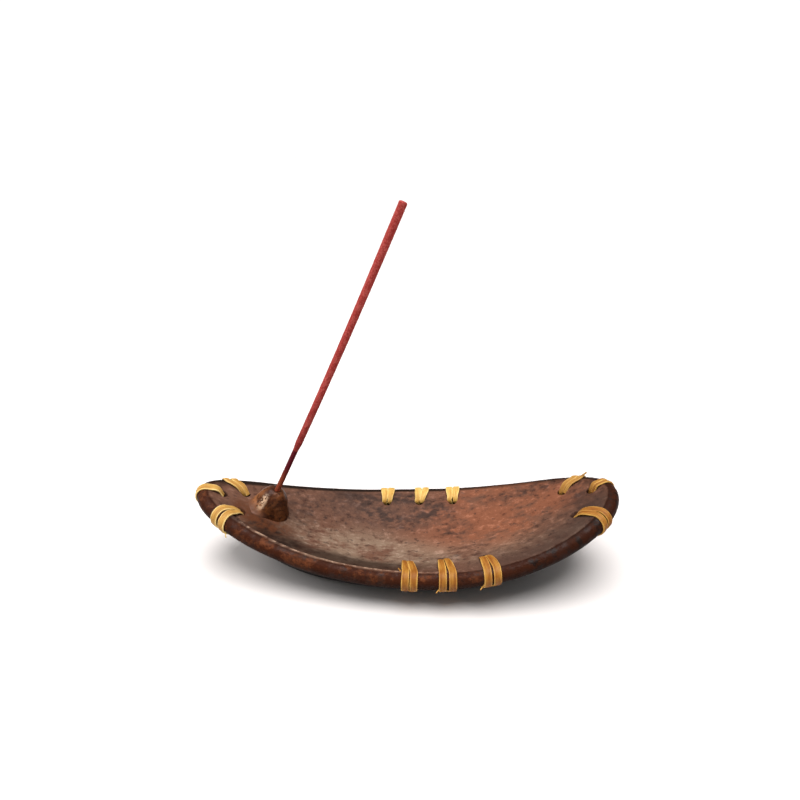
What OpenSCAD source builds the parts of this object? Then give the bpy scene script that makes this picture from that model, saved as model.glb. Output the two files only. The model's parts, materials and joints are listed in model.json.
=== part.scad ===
// Oval incense burner: a boat-shaped clay dish with upturned ends, a clay cone
// that holds the stick, rattan strips stitched through the rim, and the stick.
// X runs along the dish, Y across it and Z up. The origin is the middle of the
// flat resting face.

/* [Dish] */
// Half of the length, measured over the rim
half_length = 100; // [92:1:110]
// Half of the width at mid-length, measured over the rim
half_width = 37; // [34:1:42]
// How much wider the right half is than the left half
egg = 0.17; // [0:0.01:0.2]
// Height of the rim's crest at mid-length
crest_height = 19.5; // [18:0.5:22]
// Extra height of the rim at the left tip
left_rise = 21.5; // [15:0.5:25]
// Extra height of the rim at the right tip
right_rise = 25.5; // [15:0.5:28]
// How late the ends turn up: 2 is a plain parabola
rise_power = 2.3; // [2:0.1:2.8]
// Thickness of the rounded rim
rim_thickness = 8; // [7:0.2:9]
// Depth of the hollow below the rim's crest
trough_depth = 8.5; // [6:0.5:10]

/* [Resting face] */
// Half of the length of the resting face
foot_half_length = 56; // [48:1:62]
// Half of the width of the resting face
foot_half_width = 19; // [14:1:21]

/* [Stick holder] */
// Place of the cone along the dish
cone_x = -67; // [-70:1:-60]
// Place of the cone across the dish
cone_y = 2; // [-3:1:3]
// Lean of the bore and the stick, from upright towards the right end
lean = 24.5; // [15:0.5:28]
// Lean of the cone itself
cone_lean = 12; // [8:1:16]
// Height of the cone above the clay around it
cone_height = 12.2; // [11.6:0.2:13]
// Diameter of the cone at its foot
cone_base_d = 19; // [18:0.5:19.5]
// Diameter of the bore for the stick
bore_d = 2.7; // [2.6:0.1:3.2]

/* [Incense stick] */
// Diameter of the bamboo core
core_d = 2.4; // [2:0.1:2.4]
// Length of the stick above the cone
stick_reach = 146.8; // [120:0.5:150]
// Length of bare bamboo above the cone
bare_length = 24.5; // [18:1:30]
// Diameter of the incense paste near the tip
coating_d = 3.6; // [3.2:0.1:4]

/* [Rattan] */
// Thickness of a rattan strip
strip_t = 0.8; // [0.6:0.1:0.9]
// Diameter of the holes pierced for the strips
hole_d = 5; // [4.8:0.1:5.4]

/* [Hidden] */
STITCH_NAMES = [
    "front_stitch_left", "front_stitch_middle", "front_stitch_right",
    "back_stitch_left", "back_stitch_middle", "back_stitch_right",
    "left_end_stitch_front", "left_end_stitch_tip", "left_end_stitch_back",
    "right_end_stitch_back", "right_end_stitch_tip", "right_end_stitch_front"
];

clay_colour = [0.36, 0.20, 0.14];
cone_colour = [0.42, 0.23, 0.13];
rattan_colour = [0.80, 0.55, 0.22];
bamboo_colour = [0.45, 0.16, 0.12];
incense_colour = [0.48, 0.17, 0.15];

// Each stitch: rim angle at its hole, distance of the hole in from the rim's
// centre line, rim angle where it crosses the rim, strip width, turns.
stitches = [
    [270.5, 13.5, 272, 3.4, 2],
    [281, 14, 282, 3.4, 2],
    [293, 10.5, 294, 3.4, 2],
    [96.5, 8, 96, 3.6, 2],
    [86, 8, 85, 3.6, 2],
    [75, 8.5, 75, 3.6, 2],
    [211, 9.5, 209, 3.4, 2],
    [176, 8.5, 183, 4.2, 1],
    [150, 8.5, 156, 3.3, 2],
    [31, 9.5, 27, 3.2, 2],
    [9, 6.8, 9, 2.4, 2],
    [333, 11, 336.5, 2.8, 2]
];

// The rim is a round bar bent along this centre line
rim_r = rim_thickness / 2;
rim_a = half_length - rim_r;
rim_b = half_width - rim_r;
rim_z = crest_height - rim_r;

function unit(v) = v / norm(v);
function mix(a, b, s) = a + (b - a) * s;
function rise(c) = (c < 0 ? left_rise : right_rise) * pow(abs(c), rise_power);
function rise_slope(c) =
    (c < 0 ? -left_rise : right_rise) * rise_power * pow(abs(c), rise_power - 1) / rim_a;
function rim_point(u) = [rim_a * cos(u), rim_b * sin(u) * (1 + egg * cos(u)), rim_z + rise(cos(u))];
function rim_out(u) = unit([rim_b * (cos(u) + egg * cos(2 * u)), rim_a * sin(u), 0]);
function rim_along(u) = unit(rim_point(u + 1) - rim_point(u - 1));
function rim_per_degree(u) = norm(rim_point(u + 1) - rim_point(u - 1)) / 2;

// Height of the dish's upper face at a place inside the rim
function top_z(x, y) =
    let (c = x / rim_a, across = y / (rim_b * (1 + egg * c)))
    let (inside = max(0, 1 - c * c - across * across), slope = rise_slope(c))
    rim_z + rise(c) + rim_r * sqrt(1 + slope * slope) - trough_depth * inside * inside;
function top_point(u, t) =
    let (x = rim_a * t * cos(u), y = rim_b * t * sin(u) * (1 + egg * t * cos(u)))
    [x, y, top_z(x, y)];

// Round the rim from its inner shoulder, over the crest, to below the outside
under_angle = 50;
function shoulder_angle(u) = 90 + atan(rise_slope(cos(u)) * rim_out(u)[0]);
function edge_angle(u, s) = mix(shoulder_angle(u), -under_angle, s);
function edge_normal(u, s) =
    cos(edge_angle(u, s)) * rim_out(u) + [0, 0, sin(edge_angle(u, s))];
function edge_point(u, s) = rim_point(u) + rim_r * edge_normal(u, s);

// The underside is a curve from the rim to the foot, a little below the floor
// plane there so that the plane cuts a true flat face
foot_sink = 0.5;
foot_angle = 15;
foot_inset = foot_sink / tan(foot_angle);
foot_spread = 0.5;
curve_pull = 0.35;
function foot_turn(u) = atan2(foot_spread * sin(u), cos(u));
function foot_point(u) = [
    (foot_half_length - foot_inset) * cos(foot_turn(u)),
    (foot_half_width - foot_inset) * sin(foot_turn(u)),
    -foot_sink
];
function bezier(a, b, c, d, s) = let (r = 1 - s)
    r * r * r * a + 3 * r * r * s * b + 3 * r * s * s * c + s * s * s * d;
function under_point(u, s) =
    let (a = edge_point(u, 1), d = foot_point(u), pull = curve_pull * norm(a - d))
    let (away = unit([a[0] - d[0], a[1] - d[1], 0]))
    bezier(
        a,
        a - pull * (sin(under_angle) * rim_out(u) + [0, 0, cos(under_angle)]),
        d + pull * (cos(foot_angle) * away + [0, 0, sin(foot_angle)]),
        d,
        s
    );
function under_normal(u, s) = unit(cross(
    under_point(u, s + 0.01) - under_point(u, s - 0.01),
    under_point(u + 1, s) - under_point(u - 1, s)
));

// The place on the underside that lies below a point of the plan
under_tries = [for (du = [-24 : 1.5 : 24], s = [0.04 : 0.04 : 0.8]) [du, s]];
function under_below(u, x, y) =
    let (misses = [for (k = under_tries) let (p = under_point(u + k[0], k[1])) norm([p[0] - x, p[1] - y])])
    under_tries[search(min(misses), misses)[0]] + [u, 0];

// Hole of a stitch: mouth in the upper face, then [rim angle, curve place] of
// its mouth in the underside, which lies nearer to the rim
function hole_exit_reach(reach) = max(reach - 5, 0.55 * reach);
function hole_top(st) =
    let (p = rim_point(st[0]) - st[1] * rim_out(st[0]))
    [p[0], p[1], top_z(p[0], p[1])];
function hole_exit(st) =
    let (p = rim_point(st[0]) - hole_exit_reach(st[1]) * rim_out(st[0]))
    under_below(st[0], p[0], p[1]);

// Closed skin made of rings of points, with one point at each end
module ringed_solid(first, rings, last) {
    n = len(rings[0]);
    m = len(rings);
    points = concat([first], [for (ring = rings) each ring], [last]);
    end = m * n + 1;
    faces = concat(
        [for (i = [0 : n - 1]) [0, 1 + (i + 1) % n, 1 + i]],
        [for (k = [0 : m - 2], i = [0 : n - 1])
            let (a = 1 + k * n + i, b = 1 + k * n + (i + 1) % n)
            each [[a, b, b + n], [a, b + n, a + n]]],
        [for (i = [0 : n - 1]) [end, end - n + i, end - n + (i + 1) % n]]
    );
    polyhedron(points, faces, convexity = 6);
}

dish_steps = 72;
top_rings = [0.13, 0.26, 0.39, 0.52, 0.64, 0.75, 0.84, 0.92];
edge_rings = 9;
under_rings = 7;
module dish_blank() {
    turn = [for (i = [0 : dish_steps - 1]) i * 360 / dish_steps];
    ringed_solid(
        [0, 0, top_z(0, 0)],
        concat(
            [for (t = top_rings) [for (u = turn) top_point(u, t)]],
            [for (k = [0 : edge_rings - 1]) [for (u = turn) edge_point(u, k / (edge_rings - 1))]],
            [for (k = [1 : under_rings]) [for (u = turn) under_point(u, k / under_rings)]]
        ),
        [0, 0, -foot_sink]
    );
}

// A straight round cutter between two points, run past both by the overrun
module cutter(a, b, d, overrun) {
    way = b - a;
    length = norm(way);
    translate(a)
        rotate([0, acos(way[2] / length), atan2(way[1], way[0])])
        translate([0, 0, -overrun])
        cylinder(d = d, h = length + 2 * overrun, $fn = 32);
}

// The frame of the stick, with its own Z along it
module on_stick() {
    translate([cone_x, cone_y, top_z(cone_x, cone_y)]) rotate([0, lean, 0]) children();
}

// The frame of the cone, which is a little behind the stick and leans less
cone_behind = 0.5;
module on_cone() {
    translate([cone_x - cone_behind, cone_y, top_z(cone_x - cone_behind, cone_y)])
        rotate([0, cone_lean, 0])
        children();
}

// The cone stands in a recess whose floor lies parallel to the clay's surface
seat_depth = 1.8;
seat_clearance = 0.05;
buried = 8;
module above_seat() {
    on_stick() translate([-20, -20, -seat_depth]) cube([40, 40, 30]);
}

hole_overrun = 4;
module dish() {
    floor_block = [3 * half_length, 3 * half_width, 10];
    color(clay_colour) difference() {
        dish_blank();
        translate([0, 0, -floor_block[2] / 2]) cube(floor_block, center = true);
        intersection() {
            above_seat();
            on_cone() translate([0, 0, -buried]) cylinder(d = cone_base_d, h = 24, $fn = 64);
        }
        for (st = stitches) {
            exit = hole_exit(st);
            cutter(hole_top(st), under_point(exit[0], exit[1]), hole_d, hole_overrun);
        }
    }
}

// The cone is a thimble of clay, luted into its recess before firing
bore_depth = 10;
cone_taper = 0.08;
function cone_radius(s) =
    0.51 * cone_base_d * (1 - cone_taper * s) * pow(1 - pow(s, 2.5), 0.45);
module stick_cone() {
    foot_r = cone_base_d / 2 - seat_clearance;
    sides = [for (s = [0.1, 0.2, 0.3, 0.4, 0.5, 0.6, 0.7, 0.8, 0.87, 0.93, 0.97])
        [min(foot_r, cone_radius(s)), cone_height * s]];
    color(cone_colour) difference() {
        intersection() {
            above_seat();
            on_cone()
                rotate_extrude($fn = 72)
                polygon(concat([[0, -buried], [foot_r, -buried]], sides, [[0, cone_height]]));
        }
        on_stick()
            translate([0, 0, cone_height - bore_depth])
            cylinder(d = bore_d, h = bore_depth + 4, $fn = 48);
    }
}

// Path of a stitch, as [point, half of the strip's width]. A turn goes out over
// the upper face, round the rim, in along the underside and back up the hole.
strip_clearance = 0.2;
strand_gap = 0.5;
strip_hole_w = 2;
stub = 1.6;
strip_lift = strip_clearance + strip_t / 2;
function rim_lane(st, lane) = lane * (st[3] + strand_gap) / 2;
function hole_lane(st, lane) = lane * (strip_hole_w + strand_gap) / 2;
function hole_width(st) = st[4] == 1 ? strip_hole_w + 1 : strip_hole_w;
function cross_angle(st, lane) = st[2] + rim_lane(st, lane) / rim_per_degree(st[2]);

function over_points(st, lane) =
    let (along = rim_along(st[0]), u = cross_angle(st, lane))
    let (a = hole_top(st) + hole_lane(st, lane) * along, b = edge_point(u, 0))
    [for (s = [0 : 0.2 : 0.8])
        let (p = mix(a, b, s), lift = strip_lift * sqrt(1 + pow(rise_slope(p[0] / rim_a), 2)))
        [[p[0], p[1], top_z(p[0], p[1]) + lift], mix(hole_width(st), st[3], s) / 2]];
function round_points(st, lane) =
    let (u = cross_angle(st, lane))
    [for (s = [0 : 0.125 : 1]) [edge_point(u, s) + strip_lift * edge_normal(u, s), st[3] / 2]];
function below_points(st, exit, lane) =
    let (u = cross_angle(st, lane))
    let (end = exit[0] + hole_lane(st, lane) / rim_per_degree(exit[0]))
    [for (s = [0.2 : 0.2 : 1])
        let (v = mix(u, end, s), k = exit[1] * s)
        [under_point(v, k) + strip_lift * under_normal(v, k), mix(st[3], hole_width(st), s) / 2]];
function inner_points(st, exit, from, to, stops) =
    let (a = under_point(exit[0], exit[1]), b = hole_top(st), depth = norm(b - a), along = rim_along(st[0]))
    [for (d = stops)
        let (s = d < 0 ? 1 + d / depth : d / depth, ease = (1 - cos(180 * s)) / 2)
        [mix(a, b, s) + mix(hole_lane(st, from), hole_lane(st, to), ease) * along, hole_width(st) / 2]];
function turn_points(st, exit, lane) =
    concat(over_points(st, lane), round_points(st, lane), below_points(st, exit, lane));
function stitch_points(st) =
    let (exit = hole_exit(st))
    st[4] == 1
        ? concat(
            inner_points(st, exit, 0, 0, [-stub]),
            turn_points(st, exit, 0),
            inner_points(st, exit, 0, 0, [stub])
        )
        : concat(
            inner_points(st, exit, -1, -1, [-stub]),
            turn_points(st, exit, -1),
            inner_points(st, exit, -1, 1, [1, 2.5, 4, -4, -2.5, -1]),
            turn_points(st, exit, 1),
            inner_points(st, exit, 1, 1, [stub])
        );

// A flat strip swept along a path whose width lies along the given direction
module strip(path, along) {
    n = len(path);
    ring = [for (i = [0 : n - 1])
        let (way = unit(path[min(i + 1, n - 1)][0] - path[max(i - 1, 0)][0]))
        let (up = unit(cross(way, along)), side = cross(up, way))
        let (p = path[i][0], w = path[i][1] * side, t = strip_t / 2 * up)
        [p - w - t, p + w - t, p + w + t, p - w + t]];
    last = 4 * (n - 1);
    faces = concat(
        [[0, 1, 2], [0, 2, 3], [last, last + 2, last + 1], [last, last + 3, last + 2]],
        [for (i = [0 : n - 2], k = [0 : 3])
            let (a = 4 * i + k, b = 4 * i + (k + 1) % 4)
            each [[a, a + 4, b + 4], [a, b + 4, b]]]
    );
    polyhedron([for (r = ring) each r], faces, convexity = 8);
}

module rattan_stitch(i) {
    color(rattan_colour) strip(stitch_points(stitches[i]), rim_along(stitches[i][2]));
}

// The stick stands just clear of the bottom of the bore
stick_gap = 0.1;
tip_cover = 1.5;
function core_start() = cone_height - bore_depth + stick_gap;
function stick_top() = cone_height + stick_reach;
module bamboo_core() {
    color(bamboo_colour) on_stick()
        translate([0, 0, core_start()])
        cylinder(d = core_d, h = stick_top() - tip_cover - core_start(), $fn = 48);
}

// The paste tapers out onto the bare bamboo and is rounded at the tip
feather = 5;
function coating_radius(s) = (coating_d - 0.3 * pow(1 - s, 2)) / 2;
module incense_coating() {
    start = cone_height + bare_length;
    top = stick_top();
    core_r = core_d / 2;
    full_r = coating_radius(0);
    swell = [for (a = [0 : 15 : 90])
        [mix(core_r + 0.15, full_r, (1 - cos(2 * a)) / 2), start + feather * a / 90]];
    body = [for (s = [0.1 : 0.1 : 1]) [coating_radius(s), mix(start + feather, top - 1, s)]];
    tip = [for (a = [20 : 20 : 80]) [coating_d / 2 * pow(cos(a), 0.7), top - 1 + sin(a)]];
    color(incense_colour) on_stick()
        rotate_extrude($fn = 48)
        polygon(concat(
            [[core_r, start]], swell, body, tip,
            [[0, top], [0, top - tip_cover], [core_r, top - tip_cover]]
        ));
}

dish();
stick_cone();
for (i = [0 : len(stitches) - 1])
    rattan_stitch(i);
bamboo_core();
incense_coating();
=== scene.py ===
import json
import math
from collections import namedtuple

import bpy
import numpy as np
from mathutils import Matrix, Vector
from mathutils.bvhtree import BVHTree


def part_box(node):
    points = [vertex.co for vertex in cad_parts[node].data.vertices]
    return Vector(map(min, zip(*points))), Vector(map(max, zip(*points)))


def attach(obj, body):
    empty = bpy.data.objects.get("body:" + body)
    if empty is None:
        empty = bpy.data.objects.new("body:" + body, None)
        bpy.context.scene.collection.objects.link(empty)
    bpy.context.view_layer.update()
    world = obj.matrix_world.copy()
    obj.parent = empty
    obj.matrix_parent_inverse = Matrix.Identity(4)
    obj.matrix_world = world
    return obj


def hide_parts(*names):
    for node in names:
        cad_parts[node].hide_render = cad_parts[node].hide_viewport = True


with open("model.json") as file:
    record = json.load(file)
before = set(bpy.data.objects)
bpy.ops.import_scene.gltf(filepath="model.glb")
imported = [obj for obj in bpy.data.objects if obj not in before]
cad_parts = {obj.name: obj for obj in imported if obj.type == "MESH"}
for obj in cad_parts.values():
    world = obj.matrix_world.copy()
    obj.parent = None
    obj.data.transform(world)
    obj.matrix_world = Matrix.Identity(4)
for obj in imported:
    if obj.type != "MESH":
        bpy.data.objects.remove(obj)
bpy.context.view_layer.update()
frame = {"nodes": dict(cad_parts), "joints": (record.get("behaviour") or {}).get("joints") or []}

scene = bpy.context.scene
mm = 0.001
print("frame loaded:", len(frame["nodes"]), "nodes")


# ---- camera, light and floor

# angles in degrees, places in metres
view = {
    "aim": (-0.0023, 0.0, 0.0877),
    "turn": 2.23,
    "height": 24.0,
    "distance": 0.2639,
    "lens": 26.74,
    "sensor": 36,
    "nearest": 0.01,
}
studio = {
    "sky": 0.48,
    "skyAtHorizon": 0.03,
    "backdrop": 1.1,
    "key": 5.0,
    "keyAngle": 46,
    "keyFrom": (0.05, -0.11, 1.0),
    "sidePower": 2.2,
    "sideSize": 0.34,
    "sideFrom": (-0.56, -0.12, 0.50),
    "sideAim": (-0.06, 0, 0.03),
    "floorColour": (0.61, 0.578, 0.565, 1),
    "floorReach": 6,
}


def setCamera():
    turn, height = math.radians(view["turn"]), math.radians(view["height"])
    back = Vector((math.sin(turn) * math.cos(height), -math.cos(turn) * math.cos(height), math.sin(height)))
    camera = bpy.data.objects.new("camera", bpy.data.cameras.new("camera"))
    camera.data.lens = view["lens"]
    camera.data.sensor_width = view["sensor"]
    camera.data.clip_start = view["nearest"]
    camera.location = Vector(view["aim"]) + back * view["distance"]
    camera.rotation_euler = (-back).to_track_quat("-Z", "Y").to_euler()
    scene.collection.objects.link(camera)
    scene.camera = camera


# ---- values in node trees

class Wire:
    # one value in a node tree: arithmetic written on it adds the Math nodes
    __array_ufunc__ = None

    def __init__(self, tree, socket=None):
        self.tree = tree
        self.socket = socket

    def node(self, kind, settings=None, values=None, out=0):
        made = self.tree.nodes.new(kind)
        for name, value in (settings or {}).items():
            setattr(made, name, value)
        for key, value in (values or {}).items():
            if isinstance(value, Wire):
                self.tree.links.new(value.socket, made.inputs[key])
            else:
                made.inputs[key].default_value = value
        return Wire(self.tree, made.outputs[out])

    def beside(self, name):
        return Wire(self.tree, self.socket.node.outputs[name])

    def maths(self, operation, *values):
        return self.node("ShaderNodeMath", {"operation": operation}, dict(enumerate(values)))

    def vector(self, operation, *values, out=0):
        return self.node("ShaderNodeVectorMath", {"operation": operation}, dict(enumerate(values)), out)

    def scaled(self, factor):
        return self.node("ShaderNodeVectorMath", {"operation": "SCALE"}, {"Vector": self, "Scale": factor})

    def __add__(self, other):
        return self.maths("ADD", self, other)

    __radd__ = __add__

    def __sub__(self, other):
        return self.maths("SUBTRACT", self, other)

    def __rsub__(self, other):
        return self.maths("SUBTRACT", other, self)

    def __mul__(self, other):
        return self.maths("MULTIPLY", self, other)

    __rmul__ = __mul__

    def __truediv__(self, other):
        return self.maths("DIVIDE", self, other)

    def __rtruediv__(self, other):
        return self.maths("DIVIDE", other, self)

    def __pow__(self, other):
        return self.maths("POWER", self, other)

    def __rpow__(self, other):
        return self.maths("POWER", other, self)


# the same sums on plain numbers and on wires, so that a rule is written once
def either(operation, plain, *values):
    wire = next((value for value in values if isinstance(value, Wire)), None)
    return plain(*values) if wire is None else wire.maths(operation, *values)


def sine(a):
    return either("SINE", np.sin, a)


def cosine(a):
    return either("COSINE", np.cos, a)


def arcTangent(a):
    return either("ARCTANGENT", np.arctan, a)


def root(a):
    return either("SQRT", np.sqrt, a)


def size(a):
    return either("ABSOLUTE", np.abs, a)


def larger(a, b):
    return either("MAXIMUM", np.maximum, a, b)


def smaller(a, b):
    return either("MINIMUM", np.minimum, a, b)


def above(a, b):
    return either("GREATER_THAN", lambda p, q: np.where(p > q, 1.0, 0.0), a, b)


def between(a, low, high):
    return smaller(larger((a - low) / (high - low), 0.0), 1.0)


def ease(a, low, high):
    s = between(a, low, high)
    return s * s * (3.0 - 2.0 * s)


def mix(a, b, s):
    return tuple(p * (1.0 - s) + q * s for p, q in zip(a, b))


# ---- geometry trees

def startTree(name, inputs):
    tree = bpy.data.node_groups.new(name, "GeometryNodeTree")
    tree.interface.new_socket("Geometry", in_out="INPUT", socket_type="NodeSocketGeometry")
    kinds = {float: "Float", int: "Int", bpy.types.Object: "Object", bpy.types.Material: "Material"}
    for key, value in inputs.items():
        kind = next(name for sort, name in kinds.items() if isinstance(value, sort))
        tree.interface.new_socket(key, in_out="INPUT", socket_type="NodeSocket" + kind)
    tree.interface.new_socket("Geometry", in_out="OUTPUT", socket_type="NodeSocketGeometry")
    start = tree.nodes.new("NodeGroupInput")
    return {socket.name: Wire(tree, socket) for socket in start.outputs if socket.name}


def endTree(mesh, material):
    smooth = mesh.node("GeometryNodeSetShadeSmooth", None, {"Geometry": mesh})
    whole = mesh.node("GeometryNodeRealizeInstances", None, {"Geometry": smooth})
    done = mesh.node("GeometryNodeSetMaterial", None, {"Geometry": whole, "Material": material})
    end = mesh.tree.nodes.new("NodeGroupOutput")
    mesh.tree.links.new(done.socket, end.inputs["Geometry"])
    return mesh.tree


def grow(name, tree, values, start=None):
    # runs a tree on an object and keeps the result as a plain mesh
    piece = bpy.data.objects.new(name, start or bpy.data.meshes.new(name))
    scene.collection.objects.link(piece)
    modifier = piece.modifiers.new(name, "NODES")
    modifier.node_group = tree
    for item in tree.interface.items_tree:
        if item.in_out == "INPUT" and item.name in values:
            modifier[item.identifier] = values[item.name]
    depsgraph = bpy.context.evaluated_depsgraph_get()
    grown = bpy.data.meshes.new_from_object(
        piece.evaluated_get(depsgraph), preserve_all_data_layers=True, depsgraph=depsgraph
    )
    piece.modifiers.remove(modifier)
    piece.data = grown
    return piece


def noiseAt(place, scale, detail=2.0, seed=0.0, roughness=0.5):
    return place.node(
        "ShaderNodeTexNoise",
        {"noise_dimensions": "4D"},
        {"Vector": place, "W": seed, "Scale": scale, "Detail": detail, "Roughness": roughness},
    )


def stretchedNoise(place, scales, detail=2.0, seed=0.0, roughness=0.5):
    # one scale for each direction, so that the marks can be long
    return noiseAt(place.vector("MULTIPLY", place, scales), 1.0, detail, seed, roughness)


def moved(mesh, how, where):
    # how is Position or Offset
    return mesh.node("GeometryNodeSetPosition", None, {"Geometry": mesh, how: where})


def merged(mesh):
    return mesh.node("GeometryNodeMergeByDistance", None, {"Geometry": mesh, "Distance": 1e-6})


def cutBy(mesh, tool):
    return mesh.node(
        "GeometryNodeMeshBoolean", {"operation": "DIFFERENCE", "solver": "MANIFOLD"},
        {"Mesh 1": mesh, "Mesh 2": tool},
    )


def unitGrid(d):
    # the grid, and where its points are: x and y from -0.5 to 0.5
    grid = d["Geometry"].node(
        "GeometryNodeMeshGrid", None,
        {"Size X": 1.0, "Size Y": 1.0, "Vertices X": d["Columns"], "Vertices Y": d["Rows"]},
    )
    x, y, _ = parts(grid.node("GeometryNodeInputPosition"))
    return grid, x, y


def joined(x, y, z):
    wire = next(value for value in (x, y, z) if isinstance(value, Wire))
    return wire.node("ShaderNodeCombineXYZ", None, {0: x, 1: y, 2: z})


def parts(vector):
    x = vector.node("ShaderNodeSeparateXYZ", None, {0: vector})
    return x, x.beside("Y"), x.beside("Z")


# ---- the dish's rule: a round rim on an egg-shaped line that climbs at both ends

dishLow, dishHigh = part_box("dish")
dishShape = {
    "Half length": (dishHigh.x - dishLow.x) / 2,
    "Half width": 37 * mm,
    "Egg": 0.17,
    "Crest height": 19.5 * mm,
    "Left rise": 21.5 * mm,
    "Right rise": 25.5 * mm,
    "Rise power": 2.3,
    "Rim radius": 4 * mm,
    "Trough depth": 8.5 * mm,
    "Foot half length": 56 * mm,
    "Foot half width": 19 * mm,
}
underAngle = math.radians(50)  # how far the edge turns under before the underside starts
footSink = 0.5 * mm
footAngle = math.radians(15)
footSpread = 0.5
curvePull = 0.35


def rise(d, c):
    right = above(c, 0.0)
    return (d["Left rise"] * (1.0 - right) + d["Right rise"] * right) * size(c) ** d["Rise power"]


def riseSlope(d, c):
    right = above(c, 0.0)
    climb = d["Right rise"] * right - d["Left rise"] * (1.0 - right)
    return climb * d["Rise power"] * size(c) ** (d["Rise power"] - 1.0) / (d["Half length"] - d["Rim radius"])


def rimPlace(d, u):
    c = cosine(u)
    return (
        (d["Half length"] - d["Rim radius"]) * c,
        (d["Half width"] - d["Rim radius"]) * sine(u) * (1.0 + d["Egg"] * c),
        d["Crest height"] - d["Rim radius"] + rise(d, c),
    )


def rimOutward(d, u):
    x = (d["Half width"] - d["Rim radius"]) * (cosine(u) + d["Egg"] * cosine(2.0 * u))
    y = (d["Half length"] - d["Rim radius"]) * sine(u)
    length = root(x * x + y * y)
    return x / length, y / length


def topHeight(d, x, y):
    c = x / (d["Half length"] - d["Rim radius"])
    across = y / ((d["Half width"] - d["Rim radius"]) * (1.0 + d["Egg"] * c))
    inside = larger(1.0 - c * c - across * across, 0.0)
    slope = riseSlope(d, c)
    crest = d["Crest height"] + rise(d, c) + d["Rim radius"] * (root(1.0 + slope * slope) - 1.0)
    return crest - d["Trough depth"] * inside * inside


def edgeNormal(d, u, s):
    out = rimOutward(d, u)
    shoulder = math.pi / 2 + arcTangent(riseSlope(d, cosine(u)) * out[0])
    angle = shoulder * (1.0 - s) - underAngle * s
    return cosine(angle) * out[0], cosine(angle) * out[1], sine(angle)


def edgePlace(d, u, s):
    return tuple(p + d["Rim radius"] * n for p, n in zip(rimPlace(d, u), edgeNormal(d, u, s)))


def footPlace(d, u):
    x, y = cosine(u), footSpread * sine(u)
    length = root(x * x + y * y)
    inset = footSink / math.tan(footAngle)
    halfLength, halfWidth = d["Foot half length"] - inset, d["Foot half width"] - inset
    return halfLength * x / length, halfWidth * y / length, -footSink


def underPlace(d, u, s):
    out = rimOutward(d, u)
    a, b = edgePlace(d, u, 1.0), footPlace(d, u)
    away = a[0] - b[0], a[1] - b[1]
    run = root(away[0] * away[0] + away[1] * away[1])
    pull = curvePull * root(run * run + (a[2] - b[2]) * (a[2] - b[2]))
    leave = (
        a[0] - pull * math.sin(underAngle) * out[0],
        a[1] - pull * math.sin(underAngle) * out[1],
        a[2] - pull * math.cos(underAngle),
    )
    arrive = (
        b[0] + pull * math.cos(footAngle) * away[0] / run,
        b[1] + pull * math.cos(footAngle) * away[1] / run,
        b[2] + pull * math.sin(footAngle),
    )
    r = 1.0 - s
    weights = r * r * r, 3.0 * r * r * s, 3.0 * r * s * s, s * s * s
    return tuple(sum(w * p[k] for w, p in zip(weights, (a, leave, arrive, b))) for k in range(3))


# ---- stitches: where each strip goes through the clay and over the rim

# angle and crossing are degrees round the rim, at the hole and where the strip goes over;
# reach is how far the hole is in from the rim line, in mm as are the width and the gap
Stitch = namedtuple("Stitch", "angle reach crossing width turns gap")
stitches = {
    "front_stitch_left": Stitch(270.5, 13.5, 272, 3.4, 2, 0.3),
    "front_stitch_middle": Stitch(281, 14, 282, 3.4, 2, 1.0),
    "front_stitch_right": Stitch(293, 10.5, 294, 3.4, 2, 0.8),
    "back_stitch_left": Stitch(96.5, 8, 96, 3.6, 2, 0.15),
    "back_stitch_middle": Stitch(86, 8, 85, 3.6, 2, 0.4),
    "back_stitch_right": Stitch(75, 8.5, 75, 3.6, 2, 0.2),
    "left_end_stitch_front": Stitch(211, 9.5, 209, 3.4, 2, 1.0),
    "left_end_stitch_tip": Stitch(176, 8.5, 183, 4.2, 1, 0),
    "left_end_stitch_back": Stitch(150, 8.5, 156, 3.3, 2, 0.7),
    "right_end_stitch_back": Stitch(31, 9.5, 27, 3.2, 2, 0.25),
    "right_end_stitch_tip": Stitch(9, 6.8, 9, 2.4, 2, 0.2),
    "right_end_stitch_front": Stitch(333, 11, 336.5, 2.8, 2, 0.4),
}
strip = {
    "thickness": 0.75 * mm,
    "clearance": 0.12 * mm,
    "holeWidth": 2.1 * mm,
    "loneExtra": 1 * mm,
    "holeGap": 0.2 * mm,
    "stub": 1.6 * mm,
    "arch": 0.7 * mm,
    "tailThickness": 0.4 * mm,
}
# how far a strip's foot stands in from the middle of its hole, by the first word of its name
footShift = {"front": 0.4 * mm, "back": 1.3 * mm, "left": -0.9 * mm, "right": -0.9 * mm}
holeLean = 5 * mm  # a hole comes out this much nearer the rim below
leastReach = 0.55  # but keeps this share of its reach
rimStep = math.radians(1)


def array(place):
    return np.stack(np.broadcast_arrays(*place), -1).astype(float)


def unit(v):
    return v / np.linalg.norm(v, axis=-1, keepdims=True)


def rimChord(u):
    return array(rimPlace(dishShape, u + rimStep)) - array(rimPlace(dishShape, u - rimStep))


def rimAlong(u):
    return unit(rimChord(u))


def rimRate(u):
    # metres of rim for each radian
    return np.linalg.norm(rimChord(u)) / (2 * rimStep)


def inward(u, distance):
    x, y, _ = rimPlace(dishShape, u)
    out = rimOutward(dishShape, u)
    return x - distance * out[0], y - distance * out[1]


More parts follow.
